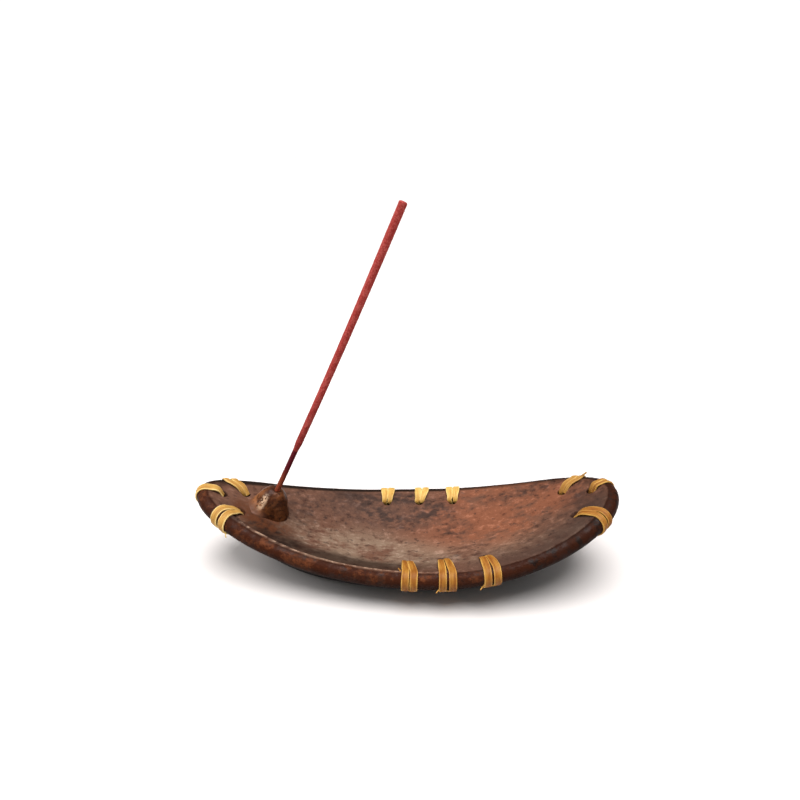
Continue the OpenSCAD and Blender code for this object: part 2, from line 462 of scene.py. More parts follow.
def holeOf(name):
    # top mouth, bottom mouth, and the bottom mouth's angle and place on the underside curve
    u, reach = math.radians(stitches[name].angle), stitches[name].reach * mm
    x, y = inward(u, reach)
    top = np.array([x, y, topHeight(dishShape, x, y)])
    below = inward(u, max(reach - holeLean, leastReach * reach))
    aside, onCurve = np.radians(np.arange(-24, 24.1, 1.5)), np.arange(0.04, 0.801, 0.04)
    turns, places = np.meshgrid(u + aside, onCurve)
    tries = array(underPlace(dishShape, turns.ravel(), places.ravel()))
    best = np.hypot(tries[:, 0] - below[0], tries[:, 1] - below[1]).argmin()
    return top, tries[best], turns.ravel()[best], places.ravel()[best]


holes = {name: holeOf(name) for name in stitches}


def holePoints():
    # a mesh with one point in the middle of each hole, which knows its direction
    mesh = bpy.data.meshes.new("holes")
    mesh.from_pydata([tuple((top + low) / 2) for top, low, _, _ in holes.values()], [], [])
    way = mesh.attributes.new("way", "FLOAT_VECTOR", "POINT")
    way.data.foreach_set("vector", np.concatenate([unit(top - low) for top, low, _, _ in holes.values()]))
    points = bpy.data.objects.new("holes", mesh)
    scene.collection.objects.link(points)
    return points


# ---- the dish

dishLook = {
    "Hole radius": 2.15 * mm,
    "Hole softness": 1.1 * mm,
    "Hole dip": 0.55 * mm,
    "Hand wobble": 0.9 * mm,
    "Smoothing strokes": 0.22 * mm,
    "Lip step": 1.7 * mm,
    "Columns": 440,
    "Rows": 200,
    "Seed": 3.0,
}
# how the rows are shared out: the top first, then the rounded edge, the underside and the foot
edgeStart, underStart, footStart = 0.5, 0.68, 0.93
lipMiddle = math.radians(238)
holeCutter = {"Vertices": 40, "Side Segments": 16, "Depth": 26 * mm}
fallOff = 2.718


def dishTree(material, points):
    d = startTree("clayDish", {**dishShape, **dishLook, "Holes": points, "Clay": material})
    grid, x, y = unitGrid(d)
    u, v = (x + 0.5) * (2 * math.pi), 0.5 - y
    onTop, onEdge = between(v, 0.0, edgeStart), between(v, edgeStart, underStart)
    onUnder, onFoot = between(v, underStart, footStart), between(v, footStart, 1.0)

    # the clay inside is pressed lower along the left front, which leaves a lip there
    shoulder = edgePlace(d, u, 0.0)
    topX, topY = shoulder[0] * onTop, shoulder[1] * onTop
    lipTurn = ease(cosine(u - lipMiddle), 0.55, 0.95)
    lipDrop = d["Lip step"] * lipTurn * (1.0 - ease(onTop, 0.94, 0.98)) * ease(onTop, 0.2, 0.8)
    top = (topX, topY, topHeight(d, topX, topY) - lipDrop)
    edge, under = edgePlace(d, u, onEdge), underPlace(d, u, onUnder)
    under = (under[0] * (1.0 - onFoot), under[1] * (1.0 - onFoot), under[2])
    place = mix(mix(top, edge, above(v, edgeStart)), under, above(v, underStart))

    # overEdge runs from -1 in the middle through 0 on the rim to 1 where the underside starts
    shell = grid.node(
        "GeometryNodeStoreNamedAttribute", {"data_type": "FLOAT", "domain": "POINT"},
        {"Geometry": grid, "Name": "overEdge", "Value": onEdge + onTop - 1.0},
    )
    shell = merged(moved(shell, "Position", joined(*place)))

    # hand-made unevenness, and clay drawn down round each hole
    here = shell.node("GeometryNodeInputPosition")
    wave = noiseAt(here, 28.0, 1.0, d["Seed"]) - 0.5
    strokes = stretchedNoise(here, (45.0, 210.0, 120.0), 2.0, d["Seed"] + 5.0) - 0.5
    points = shell.node("GeometryNodeObjectInfo", None, {"Object": d["Holes"]}, "Geometry")
    nearest = shell.node(
        "GeometryNodeSampleNearest", {"domain": "POINT"}, {"Geometry": points, "Sample Position": here}
    )
    centre = shell.node(
        "GeometryNodeSampleIndex", {"data_type": "FLOAT_VECTOR"},
        {"Geometry": points, "Value": shell.node("GeometryNodeInputPosition"), "Index": nearest},
    )
    wayField = shell.node("GeometryNodeInputNamedAttribute", {"data_type": "FLOAT_VECTOR"}, {"Name": "way"})
    way = shell.node(
        "GeometryNodeSampleIndex", {"data_type": "FLOAT_VECTOR"},
        {"Geometry": points, "Value": wayField, "Index": nearest},
    )
    offset = here.vector("SUBTRACT", here, centre)
    radial = here.vector("CROSS_PRODUCT", offset, way)
    fromHole = here.vector("LENGTH", radial, out="Value") - d["Hole radius"]
    dip = d["Hole dip"] * fallOff ** (0.0 - (larger(fromHole, 0.0) / d["Hole softness"]))
    lift = wave * d["Hand wobble"] + strokes * d["Smoothing strokes"] - dip
    _, _, height = parts(here)
    push = here.node("GeometryNodeInputNormal").scaled(lift * ease(height, 0.0, 4 * mm))
    shell = moved(shell, "Offset", push)

    # nothing goes below the floor
    px, py, pz = parts(shell.node("GeometryNodeInputPosition"))
    shell = moved(shell, "Position", joined(px, py, larger(pz, 0.0)))

    # the holes
    cutter = shell.node("GeometryNodeMeshCylinder", None, {**holeCutter, "Radius": d["Hole radius"]})
    turn = shell.node("FunctionNodeAlignRotationToVector", {"axis": "Z"}, {"Vector": wayField})
    cutters = shell.node(
        "GeometryNodeInstanceOnPoints", None, {"Points": points, "Instance": cutter, "Rotation": turn},
    )
    cutters = shell.node("GeometryNodeRealizeInstances", None, {"Geometry": cutters})
    return endTree(cutBy(shell, cutters), d["Clay"])


# ---- the cone: a thimble of clay pressed onto the dish, drilled along the stick

stickWay = Vector(frame["joints"][0]["axis"]).normalized()
coneShape = {
    "Radius": 9.6 * mm,
    "Height": 12.2 * mm,
    "Lean": math.radians(12),
    "Taper": 0.08,
    "Fillet reach": 4.0 * mm,
    "Fillet height": 7.0 * mm,
    "Bore radius": 1.38 * mm,
    "Bore dip": 0.7 * mm,
    "Hand wobble": 1.1 * mm,
    "Smoothing strokes": 0.35 * mm,
    "Columns": 160,
    "Rows": 110,
    "Seed": 7.0,
}
boreDepth = 10 * mm
boreSoftness = 0.8 * mm
coneSunk = 0.8 * mm
leftPull, frontPull, leftFrontPull = 0.20, 0.30, 0.24  # how strongly those sides are drawn in
rayHeight = 80 * mm


def onDish(x, y):
    return Vector((x, y, float(topHeight(dishShape, x, y))))


stickFoot = onDish(-67 * mm, 2 * mm)
coneFoot = onDish(-67.5 * mm, 2 * mm)
coneFootSlope = (onDish(-77 * mm, 0.0).z - coneFoot.z) / (9.5 * mm)


def coneTree(material, dish):
    d = startTree("clayCone", {**coneShape, "Dish": dish, "Clay": material})
    grid, x, y = unitGrid(d)
    turn, onBase, onDome = (x + 0.5) * (2 * math.pi), between(y, -0.5, -0.4), between(y, -0.4, 0.5)

    # height goes to the top in even steps of angle, so that the dome is smooth
    s = sine(onDome * (math.pi / 2))
    lumps = noiseAt(joined(cosine(turn), sine(turn), s), 1.1, 1.0, d["Seed"]) - 0.5
    domed = larger(1.0 - s ** 2.5, 0.0) ** 0.45
    radius = d["Radius"] * (1.0 - d["Taper"] * s) * domed * (1.0 + 0.14 * lumps)
    height = s * d["Height"]
    leftward = ease(0.0 - cosine(turn), -0.3, 0.9)
    leftFront = larger(0.0 - cosine(turn), 0.0) * larger(0.0 - sine(turn), 0.0)
    radius = radius * (1.0 - leftPull * leftward) * (1.0 - leftFrontPull * leftFront)
    px = radius * onBase * cosine(turn) + height * sine(d["Lean"]) + coneFoot.x
    py = radius * onBase * sine(turn) * (1.0 - frontPull * larger(0.0 - sine(turn), 0.0)) + coneFoot.y

    # its foot follows the clay below it and goes a little way in
    ground = grid.node(
        "GeometryNodeRaycast", {"data_type": "FLOAT"},
        {
            "Target Geometry": grid.node("GeometryNodeObjectInfo", None, {"Object": d["Dish"]}, "Geometry"),
            "Source Position": joined(px, py, rayHeight),
            "Ray Direction": (0, 0, -1),
            "Ray Length": rayHeight,
        },
        "Hit Distance",
    )
    climb = rayHeight - ground - coneFoot.z
    rising, falling = larger(climb, 0.0), smaller(climb, 0.0)
    follow = rising * (1.0 - ease(s, 0.0, 0.25)) + falling * (1.0 - ease(s, 0.0, 0.6))
    sunk = coneSunk * (1.0 - ease(s, 0.0, 0.04))
    lift = height * cosine(d["Lean"]) + follow
    fillet = 1.0 - between(lift - climb, 0.0, d["Fillet height"])
    skirt = d["Fillet reach"] * fillet * fillet * (0.12 + 0.88 * leftward) * onBase
    px, py = px + skirt * cosine(turn), py + skirt * sine(turn)
    pz = coneFoot.z + lift - sunk
    cone = merged(moved(grid, "Position", joined(px, py, pz)))

    # hand-made unevenness, a soft mouth round the stick, and the bore itself
    here = cone.node("GeometryNodeInputPosition")
    fromStick = here.vector("CROSS_PRODUCT", here.vector("SUBTRACT", here, tuple(stickFoot)), tuple(stickWay))
    mouth = larger(here.vector("LENGTH", fromStick, out="Value") - d["Bore radius"], 0.0)
    dip = d["Bore dip"] * fallOff ** (mouth / (0.0 - boreSoftness))
    uneven = (noiseAt(here, 170.0, 2.0, d["Seed"]) - 0.5) * d["Hand wobble"]
    strokes = stretchedNoise(here, (300.0, 300.0, 700.0), 2.0, d["Seed"]) - 0.5
    push = here.node("GeometryNodeInputNormal").scaled(uneven + strokes * d["Smoothing strokes"] - dip)
    cone = moved(cone, "Offset", push)
    bore = cone.node(
        "GeometryNodeMeshCylinder", None,
        {"Vertices": 40, "Side Segments": 12, "Radius": d["Bore radius"], "Depth": 2 * boreDepth},
    )
    turned = stickWay.to_track_quat("Z", "Y").to_euler()
    centre = stickFoot + stickWay * coneShape["Height"]
    bore = bore.node(
        "GeometryNodeTransform", None,
        {"Geometry": bore, "Translation": tuple(centre), "Rotation": tuple(turned)},
    )
    return endTree(cutBy(cone, bore), d["Clay"])


# ---- strips and rods swept along a path

sweepShape = {
    "Roundness": 1.0,
    "Dome": 0.0,
    "Ribs": 0.0,
    "Rib depth": 0.0,
    "Grit depth": 0.0,
    "Grit scale": 500.0,
    "Seed": 0.0,
    "Sides": 28,
    "Segments": 300,
}


def sweepTree(material):
    d = startTree("sweptStrip", {**sweepShape, "Material": material})
    path = d["Geometry"].node("GeometryNodeMeshToCurve", None, {"Mesh": d["Geometry"]})
    length = path.node("GeometryNodeCurveLength", None, {"Curve": path})
    tube = path.node(
        "GeometryNodeMeshCylinder", {"fill_type": "NGON"},
        {"Vertices": d["Sides"], "Side Segments": d["Segments"], "Radius": 1.0, "Depth": 1.0},
    )
    x, y, z = parts(tube.node("GeometryNodeInputPosition"))
    factor = z + 0.5
    middle = tube.node(
        "GeometryNodeSampleCurve", {"mode": "FACTOR"}, {"Curves": path, "Factor": factor}, "Position"
    )
    tangent = middle.beside("Tangent")

    def along(name, kind):
        field = tube.node("GeometryNodeInputNamedAttribute", {"data_type": kind}, {"Name": name})
        return tube.node(
            "GeometryNodeSampleCurve", {"mode": "FACTOR", "data_type": kind},
            {"Curves": path, "Value": field, "Factor": factor},
        )

    face = along("faceOut", "FLOAT_VECTOR")
    halfWidth, halfThick = along("halfWidth", "FLOAT"), along("halfThick", "FLOAT")
    side = face.vector("NORMALIZE", face.vector("CROSS_PRODUCT", face, tangent))
    up = face.vector("CROSS_PRODUCT", tangent, side)
    across = x.maths("SIGN", x) * size(x) ** d["Roundness"]
    rising = y.maths("SIGN", y) * size(y) ** d["Roundness"]
    dome = d["Dome"] * (1.0 - across * across) - d["Rib depth"] * cosine(across * d["Ribs"] * (2 * math.pi))
    ribs = dome * above(y, 0.1)
    spread = side.scaled(across * halfWidth)
    thick = up.scaled(rising * halfThick + ribs)
    place = middle.vector("ADD", middle, middle.vector("ADD", spread, thick))
    grain = joined(across, factor * length, d["Seed"])
    swept = tube.node(
        "GeometryNodeStoreNamedAttribute", {"data_type": "FLOAT_VECTOR", "domain": "POINT"},
        {"Geometry": tube, "Name": "grain", "Value": grain},
    )
    swept = moved(swept, "Position", place)
    here = swept.node("GeometryNodeInputPosition")
    grit = (noiseAt(here, d["Grit scale"], 3.0, d["Seed"], 0.6) - 0.5) * d["Grit depth"]
    push = here.node("GeometryNodeInputNormal").scaled(grit)
    return endTree(moved(swept, "Offset", push), d["Material"])


def pathMesh(name, points, faces, halfWidths, halfThicks):
    mesh = bpy.data.meshes.new(name)
    mesh.from_pydata([tuple(map(float, p)) for p in points], [(i, i + 1) for i in range(len(points) - 1)], [])
    for key, kind, field, values in (
        ("faceOut", "FLOAT_VECTOR", "vector", faces),
        ("halfWidth", "FLOAT", "value", halfWidths),
        ("halfThick", "FLOAT", "value", halfThicks),
    ):
        mesh.attributes.new(key, kind, "POINT").data.foreach_set(field, np.ravel(values).astype(float))
    return mesh


stripShape = {
    **sweepShape,
    "Roundness": 0.45,
    "Dome": 0.14 * mm,
    "Ribs": 3.0,
    "Rib depth": 0.03 * mm,
    "Grit depth": 0.06 * mm,
    "Grit scale": 600.0,
    "Segments": 260,
}
topSteps, edgeSteps, underSteps = 9, 14, 8
pinch = (1, 2.5, 4, -4, -2.5, -1)  # depths in mm of a strip's points inside its hole, from both mouths
closeToClay = 1.6 * mm


def laneOffset(name, lane):
    return lane * (stitches[name].width + stitches[name].gap) * mm / 2


def holeOffset(lane):
    return lane * (strip["holeWidth"] + strip["holeGap"]) / 2


def narrowWidth(name):
    # a strip that goes through its hole alone has more room there
    return strip["holeWidth"] + (strip["loneExtra"] if stitches[name].turns == 1 else 0)


def turnPath(name, lane):
    # one turn over the rim: points on the bare clay, and how wide the strip is there
    top, _, exitTurn, exitPlace = holes[name]
    narrow = narrowWidth(name)
    wide = stitches[name].width * mm
    atHole = math.radians(stitches[name].angle)
    u = math.radians(stitches[name].crossing)
    u = u + laneOffset(name, lane) / rimRate(u)
    points, widths = [], []
    shift = footShift[name.split("_")[0]]
    start = top + holeOffset(lane) * rimAlong(atHole) - shift * array((*rimOutward(dishShape, atHole), 0))
    crest = array(edgePlace(dishShape, u, 0.0))
    for s in np.linspace(0.12, 0.92, topSteps):
        x, y, _ = start + (crest - start) * s
        points.append((x, y, float(topHeight(dishShape, x, y))))
        widths.append(narrow + (wide - narrow) * min(1, s * 1.4))
    for s in np.linspace(0, 1, edgeSteps):
        points.append(tuple(float(v) for v in edgePlace(dishShape, u, s)))
        widths.append(wide)
    end = exitTurn + holeOffset(lane) / rimRate(exitTurn)
    for s in np.linspace(0.12, 0.88, underSteps):
        points.append(tuple(float(v) for v in underPlace(dishShape, u + (end - u) * s, exitPlace * s)))
        widths.append(wide + (narrow - wide) * s)
    return np.array(points), widths


def innerPath(name, before, after, depths):
    # inside the hole, from its bottom mouth up; a negative depth counts from the top
    top, low, _, _ = holes[name]
    deep = np.linalg.norm(top - low)
    along = rimAlong(math.radians(stitches[name].angle))
    points = []
    for depth in depths:
        s = (deep + depth if depth < 0 else depth) / deep
        aside = (holeOffset(after) - holeOffset(before)) * (1 - math.cos(math.pi * s)) / 2
        shift = holeOffset(before) + aside
        points.append(low + (top - low) * s + shift * along)
    return np.array(points), [narrowWidth(name)] * len(depths)


def smoothPath(points, rounds):
    for _ in range(rounds):
        points = np.concatenate([points[:1], (points[:-2] + 2 * points[1:-1] + points[2:]) / 4, points[-1:]])
    return points


def layOnClay(points, clay, lifts):
    # each point is moved out to the clay's real surface, plus the lift
    laid = []
    for point, lift in zip(points, lifts):
        spot, normal, _, gap = clay.find_nearest(Vector(point))
        laid.append(np.array(spot + normal * float(lift)) if gap < closeToClay else point)
    return np.array(laid)


def stitchPath(name, clay):
    lanes = (0,) if stitches[name].turns == 1 else (-1, 1)
    lift = strip["clearance"] + strip["thickness"] / 2
    points, widths = innerPath(name, lanes[0], lanes[0], (-strip["stub"],))
    for lane in lanes:
        over, overWidths = turnPath(name, lane)
        lifts = np.full(len(over), lift)
        lifts[:topSteps] += strip["arch"] * np.sin(np.linspace(0.35, math.pi, topSteps))
        points = np.concatenate([points, layOnClay(over, clay, lifts)])
        widths = widths + overWidths
        deeper = (strip["stub"],) if lane == lanes[-1] else tuple(depth * mm for depth in pinch)
        inner, innerWidths = innerPath(name, lane, lanes[-1], deeper)
        points = np.concatenate([points, inner])
        widths = widths + innerWidths
    points = smoothPath(points, 2)
    way = np.gradient(points, axis=0)
    faces = unit(np.cross(way, rimAlong(math.radians(stitches[name].crossing))))
    return points, faces, np.array(widths) / 2


# frayed ends that stick out: degrees round the rim, how far over it (0 top, 1 lower edge),
# the way it points, and its length and width in mm
CutEnd = namedtuple("CutEnd", "angle over way length width")
cutEnds = {
    "right_end_back_tail": CutEnd(25.5, 0.08, (0.80, 0.10, 0.58), 5.0, 1.5),
    "front_left_tail": CutEnd(269.0, -0.10, (-0.8, 0.35, 0.45), 1.5, 0.8),
    "front_middle_tail": CutEnd(279.5, 0.84, (-0.8, -0.35, -0.5), 2.4, 0.6),
    "front_right_tail": CutEnd(291.3, 0.84, (-0.75, -0.35, -0.6), 2.8, 0.6),
    "left_end_front_tail": CutEnd(213.0, 0.90, (0.35, -0.55, -0.75), 2.8, 1.2),
}
tailSteps = 8
tailSegments = 24
tailRoot = 1.2 * mm
tailCurl = 0.5 * mm
tailTaper = 0.45


def tailPath(end):
    u = math.radians(end.angle)
    normal = array(edgeNormal(dishShape, u, end.over))
    start = array(edgePlace(dishShape, u, end.over)) + normal * (strip["clearance"] + strip["thickness"] / 2)
    steps = np.linspace(0, 1, tailSteps)[:, None]
    way = unit(np.array(end.way))
    points = start - way * tailRoot + (way * end.length * mm + normal * tailCurl * steps) * steps
    halfWidths = np.linspace(end.width, end.width * tailTaper, tailSteps) * mm / 2
    return points, np.tile(normal, (tailSteps, 1)), halfWidths


# ---- materials

def startMaterial(name):
    material = bpy.data.materials.new(name)
    material.use_nodes = True
    tree = material.node_tree
    shader = tree.nodes["Principled BSDF"]
    return material, shader, Wire(tree)


def objectPlace(w):
    return w.node("ShaderNodeTexCoord", None, None, "Object")


def stored(w, name, out):
    return w.node("ShaderNodeAttribute", {"attribute_name": name}, None, out)


def blend(a, b, factor, mode="MIX"):
    wire = next(value for value in (factor, a, b) if isinstance(value, Wire))
    return wire.node("ShaderNodeMix", {"data_type": "RGBA", "blend_type": mode}, {0: factor, 6: a, 7: b}, 2)


def feed(wire, shader, name):
    wire.tree.links.new(wire.socket, shader.inputs[name])


def bumped(height, distance):
    return height.node("ShaderNodeBump", None, {"Height": height, "Distance": distance, "Strength": 1.0})


def colours(**named):
    return {name: (*value, 1.0) for name, value in named.items()}


def tinted(base, tint, factor):
    # multiplied by the tint where the factor is 1
    return blend(base, blend(base, tint, 1.0, "MULTIPLY"), factor)


def areas(place, ovals, soft=0.6):
    # 1 inside the ovals of the plan, fading to 0 outside them
    x, y, _ = parts(place)
    total = 0.0
    for middleX, middleY, halfX, halfY, strength in ovals:
        dx, dy = (x - middleX * mm) / (halfX * mm), (y - middleY * mm) / (halfY * mm)
        total = total + strength * (1.0 - ease(root(dx * dx + dy * dy), 1.0 - soft, 1.0 + soft))
    return smaller(total, 1.0)


clayColours = colours(
    brown=(0.102, 0.048, 0.031),
    red=(0.160, 0.058, 0.031),
    grey=(0.165, 0.108, 0.074),
    smoke=(0.034, 0.020, 0.016),
    rim=(0.034, 0.0095, 0.0045),
    rimOrange=(0.105, 0.032, 0.013),
    rimDark=(0.011, 0.005, 0.0035),
    worn=(0.29, 0.19, 0.13),
    stain=(0.080, 0.026, 0.011),
    # under is near-black, used as painted shade on the underside
    under=(0.006, 0.004, 0.003),
    darker=(0.46, 0.44, 0.46),
    lighter=(1.5, 1.6, 1.7),
)

# areas of the inside: middle and half sizes in mm, strength
redAreas = ((50, 9, 42, 24, 1.0), (48, 16, 26, 14, 0.7))
greyAreas = ((-30, -12, 40, 16, 1.0), (16, -14, 40, 12, 0.8), (70, -14, 24, 12, 0.7))
stainAreas = ((-66, -8, 13, 7, 1.0), (-76, -3, 6, 5, 1.0))
smudges = (
    (-14, 18, 8, 4, 1.0), (-2, 26, 9, 3, 0.9), (16, 20, 9, 5, 1.0), (26, 6, 7, 4, 0.9),
    (-26, 23, 12, 4, 0.7), (-44, 14, 16, 7, 0.7), (4, 14, 11, 5, 0.8), (62, 21, 20, 4, 0.7),
    (-62, -9, 10, 5, 0.6), (76, -12, 16, 6, 0.5), (-52, 3, 9, 9, 0.4), (40, -18, 26, 3, 0.4),
    (-20, 27, 40, 3, 0.6), (-69, -14, 9, 5, 1.2), (-77, -9, 8, 6, 1.0), (-56, -20, 12, 4, 1.0),
    (-14, 13, 10, 4, 0.7), (84, 4, 6, 14, 0.7),
)


def smokedClay():
    material, shader, w = startMaterial("smokedClay")
    place = objectPlace(w)
    overEdge = stored(w, "overEdge", "Fac")
    x, y, _ = parts(place)
    c = clayColours
    cloud = noiseAt(place, 55.0, 4.0, 1.0, 0.6)
    fine = noiseAt(place, 260.0, 5.0, 2.0, 0.65)
    streak = stretchedNoise(place, (150.0, 300.0, 240.0), 4.0, 3.0, 0.65)
    speck = stretchedNoise(place, (250.0, 380.0, 380.0), 2.0, 4.0, 0.6)
    mottle = stretchedNoise(place, (340.0, 460.0, 460.0), 5.0, 5.0, 0.75)

    # inside: brown clay, redder to the right, which is partly its own colour and partly painted light, and
    # greyer in front as a painted sheen, with smoke marks and flecks
    drift = cloud + 0.6 * (streak - 0.5)
    inside = blend(c["brown"], c["grey"], areas(place, greyAreas) * ease(drift, 0.32, 0.58))
    inside = blend(inside, c["red"], areas(place, redAreas) * ease(drift, 0.30, 0.55))
    marks = areas(place, smudges, 0.9) * ease(cloud * 0.4 + speck * 0.6, 0.40, 0.56)
    inside = blend(inside, c["smoke"], marks * 0.88)
    flecks = ease(speck, 0.58, 0.65) * ease(fine, 0.40, 0.56)
    inside = blend(inside, c["smoke"], flecks * 0.6)
    shade = streak * 0.35 + fine * 0.2 + mottle * 0.45
    inside = tinted(inside, c["darker"], 1.0 - ease(shade, 0.38, 0.485))
    inside = tinted(inside, c["lighter"], ease(shade, 0.515, 0.59))

    # the band round the outside: red-brown with orange clouds kept to the left as painted light, and painted
    # shade darkening it to the right
    bandCloud = noiseAt(place, 150.0, 5.0, 6.0, 0.65)
    right = ease(x + (bandCloud - 0.5) * 60 * mm, 20 * mm, 70 * mm)
    orange = ease(bandCloud + 0.5 * (mottle - 0.5), 0.48, 0.64) * (1.0 - right * 0.75)
    band = blend(c["rim"], c["rimOrange"], orange)
    dark = right * 0.35 + ease(bandCloud * 0.5 + fine * 0.5, 0.50, 0.60) * 0.7
    band = blend(band, c["rimDark"], smaller(dark, 1.0))
    # painted shade: darker just under the shoulder and along the lower edge, as on a rounded edge
    shoulderDark = (1.0 - ease(overEdge, 0.05, 0.25)) * 0.45 + ease(overEdge, 0.45, 0.75) * 0.6
    band = blend(band, c["rimDark"], shoulderDark)
    front = ease(0.0 - y, -4 * mm, 8 * mm)
    edge = -0.03 + (fine - 0.5) * 0.10 + (cloud - 0.5) * 0.20
    onBand = ease(overEdge, edge, edge + 0.12)
    whole = blend(inside, band, onBand)

    # painted shade with some soot in the angle below the lip, painted shade up the inside near the rim at the
    # right front, and a painted highlight with some wear along the lip's crest
    lipSide = front * ease(0.0 - x, -30 * mm, 10 * mm) * ease(x, -82 * mm, -66 * mm)
    belowLip = ease(overEdge + (cloud - 0.5) * 0.25, -0.42, -0.20) * (1.0 - ease(overEdge, -0.05, -0.025))
    whole = blend(whole, c["rimDark"], belowLip * lipSide * 0.8)
    rightFront = ease(x, 5 * mm, 60 * mm) * ease(0.0 - y, -10 * mm, 8 * mm)
    nearRim = ease(overEdge + (cloud - 0.5) * 0.35, -0.42, -0.03) * rightFront
    whole = blend(whole, c["smoke"], nearRim * (1.0 - onBand) * 0.75)
    # painted highlight, with some wear, along the lip's crest
    ridge = ease(overEdge, -0.03, -0.015) * (1.0 - ease(overEdge, -0.005, 0.015)) * lipSide
    whole = blend(whole, c["worn"], ridge * ease(mottle * 0.6 + fine * 0.4, 0.47, 0.58) * 0.85)

    # a black line along the back rim, a brown stain round the cone's foot, and the underside painted
    # near-black as shade
    backLine = (1.0 - front) * ease(overEdge, -0.055, -0.02) * ease(y, 0.0, 10 * mm)
    whole = blend(whole, c["under"], backLine * (1.0 - 0.6 * ease(x, 10 * mm, 70 * mm)) * 0.9)
    stain = areas(place, stainAreas) * (1.0 - onBand)
    whole = blend(whole, c["stain"], stain * ease(cloud * 0.4 + fine * 0.6, 0.40, 0.56) * 0.8)
    whole = blend(whole, c["under"], ease(overEdge, 0.80, 1.0))
    feed(whole, shader, "Base Color")

    # the gloss is a thin, broken polish on the band
    rough = 0.56 + (fine - 0.5) * 0.25 - onBand * 0.16 + flecks * 0.1
    feed(larger(rough, 0.15), shader, "Roughness")
    shader.inputs["Specular IOR Level"].default_value = 0.02
    polish = onBand * (1.0 - ease(overEdge, 0.62, 0.85)) * ease(fine, 0.45, 0.65) * 0.13
    feed(larger(polish + 0.04 * (1.0 - onBand), 0.0), shader, "Coat Weight")
    shader.inputs["Coat Roughness"].default_value = 0.38
    grain = noiseAt(place, 1400.0, 4.0, 8.0, 0.7)
    relief = streak * 0.4 + fine * 0.4 + mottle * 0.5 + grain * 0.12 - flecks * 0.25
    feed(bumped(relief, 0.5 * mm), shader, "Normal")
    return material


coneColours = colours(
    dark=(0.036, 0.010, 0.004),
    brown=(0.105, 0.034, 0.011),
    orange=(0.20, 0.076, 0.030),
    speck=(0.012, 0.005, 0.003),
    foot=(0.100, 0.043, 0.026),
    rubbed=(0.55, 0.36, 0.23),
)


def coneClay():
    material, shader, w = startMaterial("coneClay")
    c = coneColours
    place = objectPlace(w)
    x, y, z = parts(place)
    cloud = noiseAt(place, 210.0, 4.0, 11.0, 0.6)
    fine = noiseAt(place, 600.0, 4.0, 12.0, 0.6)
    base = blend(c["dark"], c["brown"], ease(cloud, 0.40, 0.64))
    # painted light: the left side is lit orange over the dark brown clay
    left = ease(0.0 - x + (cloud - 0.5) * 6 * mm, 68 * mm, 72 * mm)
    base = blend(base, c["orange"], left * ease(cloud + 0.3 * fine, 0.44, 0.66) * 0.9)
    base = blend(base, c["speck"], ease(fine, 0.52, 0.63) * 0.75)

    # on the left its foot is smoothed into the dish and has the dish's brown
    height = z - coneFoot.z
    aboveDish = height + (x - coneFoot.x) * coneFootSlope
    footing = 1.0 - ease(aboveDish + (cloud - 0.5) * 2 * mm, 0.4 * mm, 4.0 * mm)
    base = blend(base, c["foot"], footing * ease(0.0 - x, 65 * mm, 71 * mm) * 0.9)

    # a painted highlight runs down the ridge of its left front, with a glossy coat there too
    ridgeAt = height * 0.55 - 71.8 * mm
    ridge = (1.0 - ease(size(x - ridgeAt), 0.4 * mm, 2.3 * mm)) * ease(0.0 - y, -2 * mm, 2 * mm)
    ridge = ridge * ease(height, 2.5 * mm, 5 * mm) * (1.0 - ease(height, 8.5 * mm, 11 * mm))
    rubbed = ridge * ease(noiseAt(place, 1000.0, 3.0, 14.0, 0.7), 0.40, 0.54)
    base = blend(base, c["rubbed"], rubbed * 0.95)
    feed(base, shader, "Base Color")
    feed(0.42 + (fine - 0.5) * 0.25, shader, "Roughness")
    feed(smaller(rubbed * 0.6 + 0.06, 1.0), shader, "Coat Weight")
    shader.inputs["Coat Roughness"].default_value = 0.25
    shader.inputs["Specular IOR Level"].default_value = 0.08
    grain = noiseAt(place, 1500.0, 3.0, 13.0, 0.6)
    feed(bumped(cloud * 0.7 + fine * 0.4 + grain * 0.06, 0.5 * mm), shader, "Normal")
    return material


rattanColours = colours(
    warm=(0.315, 0.135, 0.018),
    warmDark=(0.22, 0.074, 0.008),
    pale=(0.58, 0.36, 0.095),
    paleDark=(0.46, 0.25, 0.050),
    groove=(0.60, 0.48, 0.36),
    fibre=(0.45, 0.33, 0.24),
    edge=(1.6, 2.1, 3.6),
)


